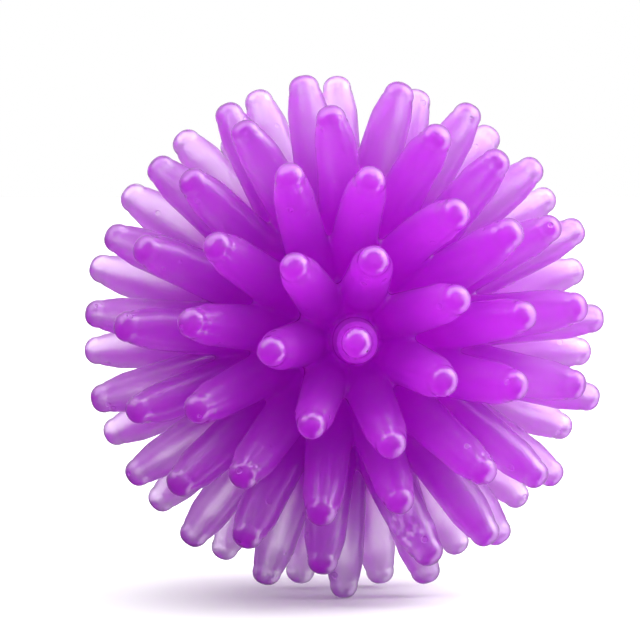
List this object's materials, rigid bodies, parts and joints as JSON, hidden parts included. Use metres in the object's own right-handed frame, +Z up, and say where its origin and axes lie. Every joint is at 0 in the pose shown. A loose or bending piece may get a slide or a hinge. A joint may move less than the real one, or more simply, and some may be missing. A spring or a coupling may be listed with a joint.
{
  "type": "massage ball",
  "caption": "Small soft translucent rubber massage ball covered in long tapered spikes that end in rounded nubs, moulded as hollow halves and bonded round the middle.",
  "frame": {"origin": "centre of the ball, in the plane where the halves meet", "axes": "+Y through the middle spikes of both halves, from the front half to the rear half; +Z up"},
  "size_m": [0.0246, 0.025, 0.0248],
  "materials": {
    "tinted_rubber": "glossy, translucent, tinted right through",
    "bond": "satin, nearly clear"
  },
  "bodies": {
    "root": {"front_half": "tinted_rubber", "rear_half": "tinted_rubber", "bond_ring": "bond"}
  },
  "joints": []
}
